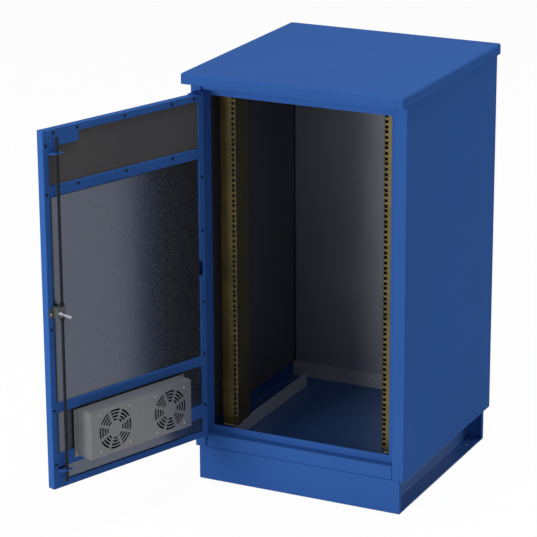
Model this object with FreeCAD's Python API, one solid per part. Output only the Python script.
import FreeCAD, Part
import math
import os

# Rack cabinet on a plinth, with one insulated door that stands open.
# Millimetres.  Origin: centre of the cabinet on the floor.  +X to the right,
# the door side faces -Y, +Z up.

# Cabinet body
body_width = 650.0
body_depth = 650.0
plinth_height = 100.0
body_height = 1077.0             # from the plinth up to the roof
wall = 2.0                       # folded sheet steel of body and door
bend = 2.0                       # inside radius of the body's folds

post_face = 37.0                 # front strip beside the door opening
sill_face = 41.0                 # front strip under the door opening
header_face = 22.0               # front strip over the door opening
recess = 28.0                    # from the front face back to the sealing lip
lip = 20.0                       # width of the sealing lip
hinge_lip = 10.0                 # the lip is narrower on the hinge side
rear_flange = 22.0
sill_flange = 20.0

roof_height = 30.0
roof_front = 45.0                # overhang past the body
roof_side = 8.0
roof_back = 8.0
roof_radius = 8.0
roof_return = 17.0               # how far the roof's rim turns in over the body

lining_thickness = 10.0
tray_edge = 15.0

# Plinth
plinth_wall = 2.5
plinth_inset = 13.0              # plinth end to body side
plinth_back_inset = 16.0
plinth_flange = 42.0
plinth_return = 14.0
channel_inset = 50.0             # plinth end to the side channel's web
anchor_radius = 7.0
anchor_inset = 21.0              # plinth end to the anchor holes
anchor_spacing_y = 470.0

# 19-inch bay
rack_unit = 44.45
bay_width = 450.0                # clear width between the rack rails
column_offset = 7.55             # from the rail's inner side to the middle of its holes
square_hole = 9.5
unit_steps = (6.35, 22.225, 38.1)    # hole heights inside one rack unit
rail_setback = 74.0              # cabinet front to the face of the rack rails
rail_face = 50.0
rail_front_depth = 27.0          # up to the step in the rail's side
rail_step = 5.0
rail_depth = 89.0
rail_wall = 2.0
rail_hook = 12.0
rail_edge = 18.0
slot_radius = 2.6
depth_rail_height = 47.5
depth_rail_flange = 34.0
depth_rail_offset = 10.0         # rail's inner side to the depth rail's web
depth_rail_back = 92.0           # depth rail's end to the back of the cabinet

# Door
open_angle = 110.0
hinge_out = 6.0                  # hinge axis past the edge of the opening
hinge_front = 3.0                # hinge axis in front of the cabinet
edge_gap = 5.0
latch_allowance = 0.6            # the latch corner swings out this much
door_thickness = 23.0
door_wall = 2.0
stile = 18.0
board_recess = 5.0
upper_rail_drop = 152.0          # door top to the upper rail
upper_rail_height = 30.0
lower_rail_lift = 216.0          # door bottom to the lower rail
lower_rail_height = 28.0
fan_rail_lift = 59.0             # door bottom to the rail behind the fan box
fan_rail_height = 40.0
hole_shares_top = (-0.44, -0.295, 0.0, 0.295, 0.44)     # shares of the door's width
hole_shares_upper = (-0.295, 0.0, 0.295)
hole_shares_latch = (0.041, 0.070, 0.225, 0.455, 0.828, 0.960)    # shares of its height
hole_shares_hinge = (0.096, 0.25, 0.404, 0.612, 0.766)
frame_hole_radius = 2.2
upper_hole_drop = 9.0
notch_height = 44.0              # rounded notch in the hinge stile
notch_depth = 11.0

# Pivot hinges
pivot_radius = 6.0
pivot_pin = 3.0
pivot_fit = 0.3
pivot_arm = 3.5
pivot_lug = 33.0
pivot_back = 8.0
pivot_margin = 1.5
arm_length = 40.0                # along the door from its hinge edge
arm_width = 13.0

# Rod lock
rod_inset = 36.5                 # door's latch edge to the rods
rod_height = 13.5                # rods off the inside of the door
rod_radius = 4.0
rod_fit = 0.6
rod_gap = 5.0                    # retracted tip to sealing lip
rod_meeting = 1.0                # rod end to the middle of the case
collar_radius = 6.0
collar_height = 8.0
collar_gap = 2.0
lock_above_middle = 4.0
case_half = 15.0
case_depth = 20.5
case_wall = 1.5
case_before_rod = 6.5            # from the rods to the case's side, hinge side
case_past_rod = 21.0
plate_inset = 2.4                # door's latch edge to the lock's plate
plate_thickness = 1.4
plate_taper = 7.0
lever_length = 40.0
lever_width = 7.5                # at the tip
lever_root_width = 4.5
lever_thickness = 3.5
lever_standoff = 2.0
lever_angle = 209.0
lever_offset = 14.5              # from the rods to the lever's shaft
shaft_radius = 3.5
shaft_fit = 0.4
hub_radius = 4.6
running_gap = 0.4
bracket_wall = 2.0
bracket_reach = 84.0             # corner bracket from the rods towards the hinge
bracket_drop = 45.0
bracket_margin = 4.0
bracket_leg = 15.0
bracket_over = 2.0
guide_drop = 63.0                # door top to the upper rod guide
guide_lift = 54.0                # door bottom to the lower rod guide
guide_reach = 21.0

# Fan unit
fan_box_shift = 7.0              # middle of the box from the middle of the door
fan_box_width = 368.0
fan_box_lift = 74.0
fan_box_height = 137.0
fan_box_depth = 50.0
fan_wall = 1.6
fan_bend = 0.6
fan_flange = 16.0
fan_shift = 2.5
fan_spacing = 200.0
fan_size = 120.0
fan_depth = 38.0
fan_corner = 6.0
fan_bore = 58.0
fan_screw = 52.5
fan_screw_radius = 2.2
grille_sectors = 8
grille_rings = ((24.0, 29.5), (33.2, 38.7), (42.4, 47.9), (51.5, 57.0))
grille_spoke = 8.0
rotor_radius = 52.0
rotor_hub = 21.0
rotor_depth = 22.0
rotor_gap = 2.0
rotor_blades = 7
rotor_pin = 3.0
rotor_pin_length = 26.0
blade_thickness = 2.0
blade_half = 12.0
blade_pitch = 38.0
strut_width = 7.0
strut_depth = 4.0

# Places worked out from the dimensions
front_y = -body_depth / 2
back_y = body_depth / 2
side_x = body_width / 2
inner_x = side_x - wall
body_top = plinth_height + body_height
sill_top = plinth_height + sill_face
header_bottom = body_top - header_face
opening_x = side_x - post_face
lip_left = -opening_x + hinge_lip
lip_right = opening_x - lip
lip_y = front_y + recess
header_lip = header_bottom - lip
sill_lip = sill_top + lip
floor_z = plinth_height + wall
ceiling_z = body_top - wall
lining_back_y = back_y - 2 * wall
roof_top = body_top + roof_height
plinth_x = side_x - plinth_inset
plinth_back = back_y - plinth_back_inset
anchor_x = plinth_x - anchor_inset

rack_front = front_y + rail_setback
rack_bottom = floor_z + depth_rail_height
rack_units = int((ceiling_z - depth_rail_height + rail_wall - rack_bottom) // rack_unit)
rack_top = rack_bottom + rack_units * rack_unit
hole_column = bay_width / 2 + column_offset
depth_rail_web = bay_width / 2 + depth_rail_offset

hinge_x = -opening_x - hinge_out
hinge_y = front_y - hinge_front
door_left = -opening_x + edge_gap
door_right = opening_x - edge_gap - latch_allowance
door_bottom = sill_top + edge_gap
door_top = header_bottom - edge_gap
door_width = door_right - door_left
door_height = door_top - door_bottom
door_middle_x = (door_left + door_right) / 2
door_middle_z = (door_bottom + door_top) / 2
door_inner = front_y + door_thickness
door_frame_back = door_inner - door_wall
skin_back = front_y + door_wall
board_front = door_inner - board_recess
panel_left = door_left + stile
panel_right = door_right - stile
panel_bottom = door_bottom + stile
panel_top = door_top - stile
upper_rail = (door_top - upper_rail_drop - upper_rail_height, door_top - upper_rail_drop)
lower_rail = (door_bottom + lower_rail_lift, door_bottom + lower_rail_lift + lower_rail_height)
fan_rail = (door_bottom + fan_rail_lift, door_bottom + fan_rail_lift + fan_rail_height)

rod_x = door_right - rod_inset
rod_y = door_inner + rod_height
lock_z = door_middle_z + lock_above_middle
case_left = rod_x - case_before_rod
case_right = rod_x + case_past_rod
plate_right = door_right - plate_inset
lever_x = rod_x + lever_offset
guide_left = rod_x - bracket_leg
guide_right = panel_right + bracket_over

fan_box_left = door_middle_x + fan_box_shift - fan_box_width / 2
fan_box_right = fan_box_left + fan_box_width
fan_box_bottom = door_bottom + fan_box_lift
fan_box_top = fan_box_bottom + fan_box_height
fan_z = (fan_box_bottom + fan_box_top) / 2
fan_middle = door_middle_x + fan_shift
fan_centres = (fan_middle - fan_spacing / 2, fan_middle + fan_spacing / 2)
fan_front = door_inner + fan_box_depth
fan_back = fan_front - fan_wall - fan_depth


# Helpers
def box(x0, x1, y0, y1, z0, z1):
    corner = FreeCAD.Vector(min(x0, x1), min(y0, y1), min(z0, z1))
    return Part.makeBox(abs(x1 - x0), abs(y1 - y0), abs(z1 - z0), corner)


def pin(centre, radius, along, length):
    return Part.makeCylinder(radius, length, FreeCAD.Vector(*centre), FreeCAD.Vector(*along))


def lift(axis, u, v, w=0.0):
    """A profile point (u, v) at w along the axis that the profile is drawn across."""
    if axis == "z":
        return FreeCAD.Vector(u, v, w)
    if axis == "x":
        return FreeCAD.Vector(w, u, v)
    return FreeCAD.Vector(u, w, v)


def joined(shapes):
    result = shapes[0].multiFuse(list(shapes[1:])) if len(shapes) > 1 else shapes[0]
    return result.removeSplitter()


def bent_line(points, radii):
    """Straight runs and tangent arcs through the points, as (start, middle, end) pieces."""
    pieces = []
    here = points[0]
    for index in range(1, len(points) - 1):
        before, corner, after = points[index - 1], points[index], points[index + 1]
        radius = radii[index - 1]
        ax, ay = before[0] - corner[0], before[1] - corner[1]
        bx, by = after[0] - corner[0], after[1] - corner[1]
        al, bl = math.hypot(ax, ay), math.hypot(bx, by)
        ax, ay, bx, by = ax / al, ay / al, bx / bl, by / bl
        half = math.acos(max(-1.0, min(1.0, ax * bx + ay * by))) / 2
        run = radius / math.tan(half)
        start = (corner[0] + ax * run, corner[1] + ay * run)
        end = (corner[0] + bx * run, corner[1] + by * run)
        mx, my = ax + bx, ay + by
        ml = math.hypot(mx, my)
        reach = radius / math.sin(half) - radius
        middle = (corner[0] + mx / ml * reach, corner[1] + my / ml * reach)
        pieces.append((here, None, start))
        pieces.append((start, middle, end))
        here = end
    pieces.append((here, None, points[-1]))
    return pieces


def folded(points, thickness, inside, side, axis, low, high):
    """Folded sheet: the points run along its outer side, `side` +1 puts metal on their left."""
    shifted = []
    turns = []
    for index, point in enumerate(points):
        directions = []
        for a, b in ((index - 1, index), (index, index + 1)):
            if a < 0 or b >= len(points):
                continue
            dx, dy = points[b][0] - points[a][0], points[b][1] - points[a][1]
            length = math.hypot(dx, dy)
            directions.append((dx / length, dy / length))
        normals = [(-dy * side, dx * side) for dx, dy in directions]
        if len(normals) == 1:
            nx, ny = normals[0]
            shifted.append((point[0] + nx * thickness, point[1] + ny * thickness))
            continue
        (ax, ay), (bx, by) = normals
        scale = thickness / (1.0 + ax * bx + ay * by)
        shifted.append((point[0] + (ax + bx) * scale, point[1] + (ay + by) * scale))
        (ux, uy), (vx, vy) = directions
        turns.append((ux * vy - uy * vx) * side > 0)
    outer_radii = [inside + thickness if toward else inside for toward in turns]
    inner_radii = [inside if toward else inside + thickness for toward in turns]
    outline = bent_line(points, outer_radii)
    other = bent_line(shifted, inner_radii)
    other = [(end, middle, start) for start, middle, end in reversed(other)]
    loop = outline + [(outline[-1][2], None, other[0][0])] + other
    loop.append((other[-1][2], None, outline[0][0]))
    edges = []
    for start, middle, end in loop:
        if middle is None:
            edges.append(Part.LineSegment(lift(axis, *start, low), lift(axis, *end, low)).toShape())
        else:
            arc = Part.Arc(lift(axis, *start, low), lift(axis, *middle, low), lift(axis, *end, low))
            edges.append(arc.toShape())
    face = Part.Face(Part.Wire(edges))
    return face.extrude(lift(axis, 0.0, 0.0, high - low))


def plate(points, axis, low, high):
    corners = [lift(axis, u, v, low) for u, v in points]
    face = Part.Face(Part.makePolygon(corners + [corners[0]]))
    return face.extrude(lift(axis, 0.0, 0.0, high - low))


def mirrored(shape):
    return shape.mirror(FreeCAD.Vector(0, 0, 0), FreeCAD.Vector(1, 0, 0))


def swung(shape):
    """Takes a door piece from its closed place to the open one that the cabinet rests in."""
    result = shape.copy()
    result.rotate(FreeCAD.Vector(hinge_x, hinge_y, 0), FreeCAD.Vector(0, 0, 1), -open_angle)
    return result


# Plinth
def plinth_front():
    web = folded(
        [(front_y + plinth_flange, 0.0), (front_y, 0.0), (front_y, plinth_height),
         (front_y + plinth_flange, plinth_height)],
        plinth_wall, bend, -1, "x", -plinth_x, plinth_x)
    ends = []
    for start in (-plinth_x, plinth_x - plinth_wall):
        ends.append(box(start, start + plinth_wall, front_y + plinth_wall,
                        front_y + plinth_return, plinth_wall, plinth_height - plinth_wall))
    return joined([web] + ends)


def plinth_rear():
    web = folded(
        [(plinth_back - plinth_flange, 0.0), (plinth_back, 0.0), (plinth_back, plinth_height),
         (plinth_back - plinth_flange, plinth_height)],
        plinth_wall, bend, 1, "x", -plinth_x, plinth_x)
    ends = []
    for start in (-plinth_x, plinth_x - plinth_wall):
        ends.append(box(start, start + plinth_wall, plinth_back - plinth_return,
                        plinth_back - plinth_wall, plinth_wall, plinth_height - plinth_wall))
    return joined([web] + ends)


def plinth_channel():
    web_x = plinth_x - channel_inset
    front_end = front_y + plinth_flange
    back_end = plinth_back - plinth_flange
    channel = folded(
        [(plinth_x, plinth_height), (web_x, plinth_height), (web_x, 0.0), (plinth_x, 0.0)],
        plinth_wall, bend, 1, "y", front_end, back_end)
    webs = []
    for start, end in ((front_y + plinth_wall, front_end), (back_end, plinth_back - plinth_wall)):
        webs.append(box(web_x, web_x + plinth_wall, start, end,
                        plinth_wall + bend, plinth_height - plinth_wall - bend))
    shape = joined([channel] + webs)
    for y in (-anchor_spacing_y / 2, anchor_spacing_y / 2):
        hole = pin((anchor_x, y, -1.0), anchor_radius, (0, 0, 1), plinth_wall + 2.0)
        shape = shape.cut(hole)
    return shape


# Body
def side_panel(lip_end):
    """Left panel: side wall, front post, its return and the sealing lip from one sheet."""
    shape = folded(
        [(-side_x + rear_flange, back_y), (-side_x, back_y), (-side_x, front_y),
         (-opening_x, front_y), (-opening_x, lip_y), (lip_end, lip_y)],
        wall, bend, 1, "z", plinth_height, body_top)
    above_fold = box(-inner_x, lip_end + 1.0, front_y + wall, lip_y + wall + 1.0,
                     ceiling_z, body_top + 1.0)
    return shape.cut(above_fold)


def with_pivot_notches(panel):
    """Room for the pivot lugs at the lower and the upper corner of the opening."""
    notch_left = hinge_x - pivot_radius - pivot_margin
    notch_right = -opening_x + 1.0
    for low, high in ((sill_top - pivot_lug - 1.0, door_bottom + 1.0),
                      (door_top - 1.0, ceiling_z)):
        panel = panel.cut(box(notch_left, notch_right, front_y - 1.0,
                              hinge_y + pivot_back + hinge_front, low, high))
    return panel


def header():
    shape = folded(
        [(front_y, body_top), (front_y, header_bottom), (lip_y, header_bottom),
         (lip_y, header_lip)],
        wall, bend, 1, "x", -opening_x, opening_x)
    return clear_of_post_lips(shape, header_lip - 1.0, header_bottom + wall + 1.0)


def sill():
    shape = folded(
        [(front_y + sill_flange, plinth_height), (front_y, plinth_height), (front_y, sill_top),
         (lip_y, sill_top), (lip_y, sill_lip)],
        wall, bend, -1, "x", -opening_x, opening_x)
    return clear_of_post_lips(shape, sill_top - wall - 1.0, sill_lip + 1.0)


def clear_of_post_lips(shape, low, high):
    """Ends a rail's lip at the lips of the posts, and clears the posts' bends."""
    for left, right in ((-opening_x - 1.0, lip_left), (lip_right, opening_x + 1.0)):
        shape = shape.cut(box(left, right, lip_y, lip_y + recess, low, high))
    for side in (-1, 1):
        shape = shape.cut(box(side * (opening_x - bend), side * (opening_x + 1.0),
                              lip_y - bend, lip_y + recess, low, high))
    return shape


def floor_tray():
    shape = folded(
        [(-inner_x, plinth_height + tray_edge), (-inner_x, plinth_height),
         (inner_x, plinth_height), (inner_x, plinth_height + tray_edge)],
        wall, bend, 1, "y", front_y + sill_flange, back_y - wall)
    over_edge = plinth_height + tray_edge + 1.0
    for left, right in ((-inner_x - 1.0, lip_left), (lip_right, inner_x + 1.0)):
        shape = shape.cut(box(left, right, front_y, lip_y + wall, plinth_height - 1.0, over_edge))
        shape = shape.cut(box(left, right, lining_back_y, back_y, floor_z, over_edge))
    for side in (-1, 1):
        shape = shape.cut(box(side * (inner_x - bend), side * (inner_x + 1.0),
                              lining_back_y, back_y, plinth_height - 1.0, over_edge))
    return shape


def back_panel():
    return box(-inner_x + bend, inner_x - bend, lining_back_y, back_y - wall,
               floor_z, ceiling_z)


def top_panel():
    sheet = box(-inner_x, inner_x, front_y + wall, back_y - wall, ceiling_z, body_top)
    upright = [edge for edge in sheet.Edges if edge.BoundBox.ZLength > wall / 2]
    return sheet.makeFillet(2 * bend, upright)


def roof():
    left, right = -side_x - roof_side, side_x + roof_side
    front, back = front_y - roof_front, back_y + roof_back
    outer = box(left, right, front, back, body_top, roof_top)
    upright = [edge for edge in outer.Edges
               if edge.BoundBox.ZLength > roof_height - 1.0]
    outer = outer.makeFillet(roof_radius, upright)
    rim = [edge for edge in outer.Edges if edge.BoundBox.ZMin > roof_top - 0.01]
    outer = outer.makeFillet(roof_radius - wall, rim)
    inner = box(left + wall, right - wall, front + wall, back - wall,
                body_top + wall, roof_top - wall)
    upright = [edge for edge in inner.Edges
               if edge.BoundBox.ZLength > roof_height - 3 * wall]
    inner = inner.makeFillet(roof_radius - wall, upright)
    rim = [edge for edge in inner.Edges if edge.BoundBox.ZMin > roof_top - wall - 0.01]
    inner = inner.makeFillet(roof_radius - 2 * wall, rim)
    window = box(-side_x + roof_return, side_x - roof_return, front_y + roof_return,
                 back_y - roof_return, body_top - 1.0, body_top + wall + 1.0)
    return outer.cut(inner).cut(window)


def side_lining():
    return box(-inner_x, -inner_x + lining_thickness, lip_y + wall,
               lining_back_y - lining_thickness, rack_bottom, rack_top)


def back_lining():
    return box(-inner_x, inner_x, lining_back_y - lining_thickness, lining_back_y,
               rack_bottom, rack_top)


def back_lining_base():
    end = inner_x - wall - bend
    return box(-end, end, lining_back_y - lining_thickness, lining_back_y,
               floor_z, rack_bottom)


# Rack
def rack_rail():
    inner = -bay_width / 2
    outer = inner - rail_face
    stepped = inner - rail_step
    step_y = rack_front + rail_front_depth
    back = rack_front + rail_depth
    rail = folded(
        [(outer, rack_front + rail_edge), (outer, rack_front), (inner, rack_front),
         (inner, step_y), (stepped, step_y + rail_step), (stepped, back),
         (stepped - rail_hook, back)],
        rail_wall, rail_wall, 1, "z", rack_bottom, rack_top)
    holes = []
    for unit in range(rack_units):
        base = rack_bottom + unit * rack_unit
        for step in unit_steps:
            z = base + step
            holes.append(box(-hole_column - square_hole / 2, -hole_column + square_hole / 2,
                             rack_front - 1.0, rack_front + rail_wall + 1.0,
                             z - square_hole / 2, z + square_hole / 2))
        holes.append(pin((inner - rail_wall - 1.0, rack_front + rail_front_depth / 2,
                          base + rack_unit / 2), slot_radius, (1, 0, 0), rail_wall + 2.0))
    return rail.cut(Part.makeCompound(holes))


def depth_rail(flange_z, foot_z):
    """Angle along the floor or the ceiling, with a tab that carries the rack rail's end."""
    outer = -depth_rail_web - depth_rail_flange
    start = rack_front - rail_wall
    side = 1 if foot_z > flange_z else -1
    angle = folded([(outer, flange_z), (-depth_rail_web, flange_z), (-depth_rail_web, foot_z)],
                   rail_wall, rail_wall, side, "y", start, back_y - depth_rail_back)
    tab = box(outer, -depth_rail_web, start, rack_front + rail_depth + rail_wall,
              foot_z - side * rail_wall, foot_z)
    return joined([angle, tab])


# Door
def door_skin():
    outer = box(door_left, door_right, front_y, door_frame_back, door_bottom, door_top)
    inner = box(door_left + door_wall, door_right - door_wall, skin_back, door_inner,
                door_bottom + door_wall, door_top - door_wall)
    skin = outer.cut(inner)
    return skin.cut(lock_bore())


def lock_bore():
    return pin((lever_x, front_y - 1.0, lock_z), shaft_radius + shaft_fit, (0, 1, 0),
               door_thickness + case_depth + 2.0)


def door_frame():
    face = box(door_left, door_right, door_frame_back, door_inner, door_bottom, door_top)
    legs = box(panel_left - door_wall, panel_right + door_wall, skin_back, door_frame_back,
               panel_bottom - door_wall, panel_top + door_wall)
    window = box(panel_left, panel_right, skin_back - 1.0, door_inner + 1.0,
                 panel_bottom, panel_top)
    ring = joined([face, legs]).cut(window).cut(stile_notch())
    holes = []
    for share in hole_shares_top:
        holes.append((door_middle_x + share * door_width, door_top - stile / 2))
    for share in hole_shares_latch:
        holes.append((door_right - stile / 2, door_bottom + share * door_height))
    for share in hole_shares_hinge:
        holes.append((door_left + stile / 2, door_bottom + share * door_height))
    return ring.cut(door_holes(holes))


def stile_notch():
    """Rounded notch in the hinge stile, level with the lock."""
    y0 = skin_back + door_wall
    length = door_thickness
    low = lock_z - notch_height / 2 + notch_depth
    high = lock_z + notch_height / 2 - notch_depth
    ends = [pin((panel_left, y0, z), notch_depth, (0, 1, 0), length) for z in (low, high)]
    middle = box(panel_left - notch_depth, panel_left + notch_depth, y0, y0 + length, low, high)
    return joined(ends + [middle])


def door_holes(places):
    return Part.makeCompound([
        pin((x, door_frame_back - 1.0, z), frame_hole_radius, (0, 1, 0), door_wall + 2.0)
        for x, z in places])


def cross_rail(span):
    low, high = span
    return folded(
        [(skin_back, low), (door_inner, low), (door_inner, high), (skin_back, high)],
        door_wall, 1.0, 1, "x", panel_left, panel_right)


def upper_cross_rail():
    z = upper_rail[1] - upper_hole_drop
    places = [(door_middle_x + share * door_width, z) for share in hole_shares_upper]
    return cross_rail(upper_rail).cut(door_holes(places))


def board(low, high):
    return box(panel_left, panel_right, skin_back, board_front, low, high)


# Pivots
def pivot_fixed(bottom):
    """Lug welded in the notch of the left post, with the hinge pin."""
    if bottom:
        low, high = sill_top - pivot_lug, sill_top
        pin_low, pin_high = high - 1.0, door_bottom + 1.0
    else:
        low, high = header_bottom, ceiling_z
        pin_low, pin_high = door_top - 1.0, low + 1.0
    lug = pin((hinge_x, hinge_y, low), pivot_radius, (0, 0, 1), high - low)
    left = hinge_x - pivot_radius - pivot_margin
    block = box(left, -opening_x, front_y, hinge_y + pivot_back, low, high)
    stem = pin((hinge_x, hinge_y, pin_low), pivot_pin, (0, 0, 1), pin_high - pin_low)
    return joined([lug, block, stem])


def pivot_arm_plate(bottom):
    """Flat arm under or over the door, from its edge out to the hinge axis."""
    if bottom:
        low, high = door_bottom - pivot_arm, door_bottom
    else:
        low, high = door_top, door_top + pivot_arm
    hub = pin((hinge_x, hinge_y, low), pivot_radius, (0, 0, 1), pivot_arm)
    end = door_left + arm_length
    edge = front_y + hinge_front
    reach = plate([(hinge_x, hinge_y - pivot_radius), (door_left, hinge_y - pivot_radius),
                   (end, edge), (end, edge + arm_width), (door_left + arm_width, edge + arm_width),
                   (door_left, hinge_y + pivot_radius), (hinge_x, hinge_y + pivot_radius)],
                  "z", low, high)
    bore = pin((hinge_x, hinge_y, low - 1.0), pivot_pin + pivot_fit, (0, 0, 1), pivot_arm + 2.0)
    return joined([hub, reach]).cut(bore)


# Rod lock
def lock_case():
    low, high = lock_z - case_half, lock_z + case_half
    front = door_inner + case_depth
    body = box(case_left, case_right, door_inner, front, low, high)
    body = body.makeFillet(case_wall, [edge for edge in body.Edges
                                       if edge.BoundBox.ZLength > case_half
                                       and edge.BoundBox.YMin > door_inner + 1.0])
    plate_edge = [(case_left, low), (plate_right, low), (plate_right, high - plate_taper),
                  (case_right, high), (case_left, high)]
    foot = plate(plate_edge, "y", door_inner, door_inner + plate_thickness)
    hollow = box(case_left + case_wall, case_right - case_wall, door_inner - 1.0,
                 front - case_wall, low + case_wall, high - case_wall)
    rods = pin((rod_x, rod_y, low - 1.0), rod_radius + rod_fit, (0, 0, 1), 2 * case_half + 2.0)
    return joined([body, foot]).cut(hollow).cut(rods).cut(lock_bore())


def lock_lever():
    face = door_inner + case_depth + running_gap
    back = face + lever_standoff
    front = back + lever_thickness
    hub = pin((lever_x, face, lock_z), hub_radius, (0, 1, 0), front - face)
    arm = plate([(0.0, -lever_root_width / 2), (lever_length, -lever_width / 2),
                 (lever_length, lever_width / 2), (0.0, lever_root_width / 2)], "y", back, front)
    tip = [edge for edge in arm.Edges
           if edge.BoundBox.YLength > 1.0 and edge.BoundBox.XMin > 1.0]
    arm = arm.makeFillet(lever_width / 2 - 0.5, tip)
    arm.rotate(FreeCAD.Vector(0, 0, 0), FreeCAD.Vector(0, 1, 0), -lever_angle)
    arm.translate(FreeCAD.Vector(lever_x, 0, lock_z))
    shaft_end = front_y - hinge_front
    shaft = pin((lever_x, shaft_end, lock_z), shaft_radius, (0, 1, 0), face - shaft_end + 1.0)
    return joined([hub, arm, shaft])


def rod_upper():
    low = lock_z + rod_meeting
    high = header_lip - rod_gap
    rod = pin((rod_x, rod_y, low), rod_radius, (0, 0, 1), high - low)
    collar_low = lock_z + case_half + collar_gap
    collar = pin((rod_x, rod_y, collar_low), collar_radius, (0, 0, 1), collar_height)
    return joined([rod, collar])


def rod_lower():
    low = sill_lip + rod_gap
    high = lock_z - rod_meeting
    rod = pin((rod_x, rod_y, low), rod_radius, (0, 0, 1), high - low)
    collar_low = lock_z - case_half - collar_gap - collar_height
    collar = pin((rod_x, rod_y, collar_low), collar_radius, (0, 0, 1), collar_height)
    return joined([rod, collar])


def guide(low):
    """Shelf of a rod guide, with its bore."""
    shelf = box(guide_left, guide_right, door_inner, door_inner + guide_reach,
                low, low + bracket_wall)
    bore = pin((rod_x, rod_y, low - 1.0), rod_radius + rod_fit, (0, 0, 1), bracket_wall + 2.0)
    return shelf.cut(bore)


def corner_bracket_top():
    face = door_inner + bracket_wall
    low = door_top - guide_drop
    shoulder = door_top - bracket_drop
    wide = box(rod_x - bracket_reach, guide_right, door_inner, face,
               shoulder, door_top - bracket_margin)
    leg = box(guide_left, guide_right, door_inner, face, low, shoulder)
    return joined([wide, leg, guide(low)])


def corner_bracket_bottom():
    face = door_inner + bracket_wall
    high = door_bottom + guide_lift
    back = box(guide_left, guide_right, door_inner, face, door_bottom + bracket_margin, high)
    return joined([back, guide(high - bracket_wall)])


# Fan unit
def arc_slot(inner, outer, start, end, x, z, y0, y1):
    """Slot of a finger guard: part of a ring between two spokes."""
    def at(radius, angle):
        return FreeCAD.Vector(x + radius * math.cos(angle), y0, z + radius * math.sin(angle))
    middle = (start + end) / 2
    edges = [
        Part.Arc(at(outer, start), at(outer, middle), at(outer, end)).toShape(),
        Part.LineSegment(at(outer, end), at(inner, end)).toShape(),
        Part.Arc(at(inner, end), at(inner, middle), at(inner, start)).toShape(),
        Part.LineSegment(at(inner, start), at(outer, start)).toShape()]
    return Part.Face(Part.Wire(edges)).extrude(FreeCAD.Vector(0, y1 - y0, 0))


def grille_cuts(x):
    cuts = []
    y0, y1 = fan_front - fan_wall - 1.0, fan_front + 1.0
    pitch = 2 * math.pi / grille_sectors
    for sector in range(grille_sectors):
        for inner, outer in grille_rings:
            margin = grille_spoke / 2 / ((inner + outer) / 2)
            start = (sector - 0.5) * pitch + margin
            end = (sector + 0.5) * pitch - margin
            cuts.append(arc_slot(inner, outer, start, end, x, fan_z, y0, y1))
    for dx in (-fan_screw, fan_screw):
        for dz in (-fan_screw, fan_screw):
            cuts.append(pin((x + dx, y0, fan_z + dz), fan_screw_radius, (0, 1, 0), y1 - y0))
    return cuts


def fan_box():
    foot = door_inner + fan_wall
    shell = folded(
        [(fan_box_right + fan_flange, foot), (fan_box_right, foot), (fan_box_right, fan_front),
         (fan_box_left, fan_front), (fan_box_left, foot), (fan_box_left - fan_flange, foot)],
        fan_wall, fan_bend, 1, "z", fan_box_bottom, fan_box_top)
    parts = [shell]
    for low in (fan_box_bottom, fan_box_top - fan_wall):
        parts.append(box(fan_box_left + fan_wall / 2, fan_box_right - fan_wall / 2, door_inner,
                         fan_front - fan_wall / 2, low, low + fan_wall))
    shape = joined(parts)
    cuts = []
    for x in fan_centres:
        cuts.extend(grille_cuts(x))
    return shape.cut(Part.makeCompound(cuts))


def fan_frame(x):
    front = fan_front - fan_wall
    half = fan_size / 2
    body = box(x - half, x + half, fan_back, front, fan_z - half, fan_z + half)
    body = body.makeFillet(fan_corner, [edge for edge in body.Edges
                                 if edge.BoundBox.YLength > fan_depth - 1.0])
    body = body.cut(pin((x, fan_back - 1.0, fan_z), fan_bore, (0, 1, 0), fan_depth + 2.0))
    parts = [body, pin((x, fan_back, fan_z), rotor_hub, (0, 1, 0), strut_depth)]
    for angle in (45.0, 135.0):
        bar = box(-fan_bore - 2.0, fan_bore + 2.0, fan_back, fan_back + strut_depth,
                  -strut_width / 2, strut_width / 2)
        bar.rotate(FreeCAD.Vector(0, 0, 0), FreeCAD.Vector(0, 1, 0), angle)
        bar.translate(FreeCAD.Vector(x, 0, fan_z))
        parts.append(bar)
    parts.append(pin((x, fan_back, fan_z), rotor_pin, (0, 1, 0), rotor_pin_length))
    return joined(parts)


def fan_rotor(x):
    back = fan_back + strut_depth + rotor_gap
    hub = pin((x, back, fan_z), rotor_hub, (0, 1, 0), rotor_depth)
    parts = [hub]
    for index in range(rotor_blades):
        blade = box(rotor_hub - 2.0, rotor_radius, -blade_thickness / 2, blade_thickness / 2,
                    -blade_half, blade_half)
        blade.rotate(FreeCAD.Vector(0, 0, 0), FreeCAD.Vector(1, 0, 0), blade_pitch)
        blade = blade.common(pin((0, -rotor_depth / 2, 0), rotor_radius, (0, 1, 0), rotor_depth))
        blade.rotate(FreeCAD.Vector(0, 0, 0), FreeCAD.Vector(0, 1, 0),
                     360.0 * index / rotor_blades)
        blade.translate(FreeCAD.Vector(x, back + rotor_depth / 2, fan_z))
        parts.append(blade)
    bore = pin((x, back - 1.0, fan_z), rotor_pin + pivot_fit, (0, 1, 0), rotor_depth + 2.0)
    return joined(parts).cut(bore)


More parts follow.
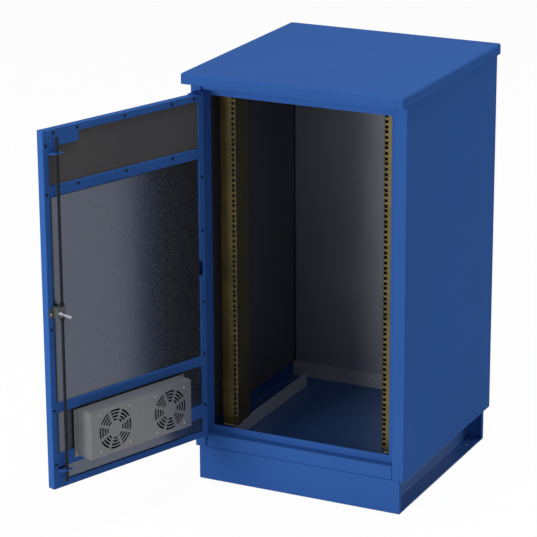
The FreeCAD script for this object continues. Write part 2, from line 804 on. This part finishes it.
# Export
def pieces():
    left_side = side_panel(lip_left)
    right_side = mirrored(side_panel(-lip_right))
    rail = rack_rail()
    lining = side_lining()
    channel = plinth_channel()
    lower_depth = depth_rail(floor_z, rack_bottom)
    upper_depth = depth_rail(ceiling_z, rack_top)
    fixed = {
        "plinth_front": plinth_front(),
        "plinth_rear": plinth_rear(),
        "plinth_channel_left": mirrored(channel),
        "plinth_channel_right": channel,
        "floor_tray": floor_tray(),
        "side_panel_left": with_pivot_notches(left_side),
        "side_panel_right": right_side,
        "back_panel": back_panel(),
        "top_panel": top_panel(),
        "header_rail": header(),
        "sill_rail": sill(),
        "roof": roof(),
        "lining_left": lining,
        "lining_right": mirrored(lining),
        "lining_back": back_lining(),
        "lining_back_base": back_lining_base(),
        "rack_rail_left": rail,
        "rack_rail_right": mirrored(rail),
        "depth_rails_left": Part.makeCompound([lower_depth, upper_depth]),
        "depth_rails_right": Part.makeCompound([mirrored(lower_depth), mirrored(upper_depth)]),
        "pivot_lugs": Part.makeCompound([pivot_fixed(True), pivot_fixed(False)]),
    }
    bore = lock_bore()
    door = {
        "door_skin": door_skin(),
        "door_frame": door_frame(),
        "door_rail_upper": upper_cross_rail(),
        "door_rail_lower": cross_rail(lower_rail),
        "door_rail_fans": cross_rail(fan_rail),
        "door_board_top": board(upper_rail[1], panel_top),
        "door_board_main": board(lower_rail[1], upper_rail[0]).cut(bore),
        "door_board_fans": board(fan_rail[1], lower_rail[0]),
        "door_board_base": board(panel_bottom, fan_rail[0]),
        "pivot_arms": Part.makeCompound([pivot_arm_plate(True), pivot_arm_plate(False)]),
        "rod_bracket_top": corner_bracket_top(),
        "rod_bracket_bottom": corner_bracket_bottom(),
        "lock_case": lock_case(),
        "lock_lever": lock_lever(),
        "lock_rod_upper": rod_upper(),
        "lock_rod_lower": rod_lower(),
        "fan_box": fan_box(),
    }
    for index, x in enumerate(fan_centres):
        name = ("hinge_side", "latch_side")[index]
        door["fan_frame_" + name] = fan_frame(x)
        door["fan_rotor_" + name] = fan_rotor(x)
    everything = dict(fixed)
    for name, shape in door.items():
        everything[name] = swung(shape)
    return everything


os.makedirs("parts", exist_ok=True)
for name, shape in pieces().items():
    shape.exportStep("parts/" + name + ".step")
    bounds = shape.BoundBox
    print("%-24s solids %d valid %s  x %.1f..%.1f y %.1f..%.1f z %.1f..%.1f" % (
        name, len(shape.Solids), shape.isValid(), bounds.XMin, bounds.XMax,
        bounds.YMin, bounds.YMax, bounds.ZMin, bounds.ZMax))
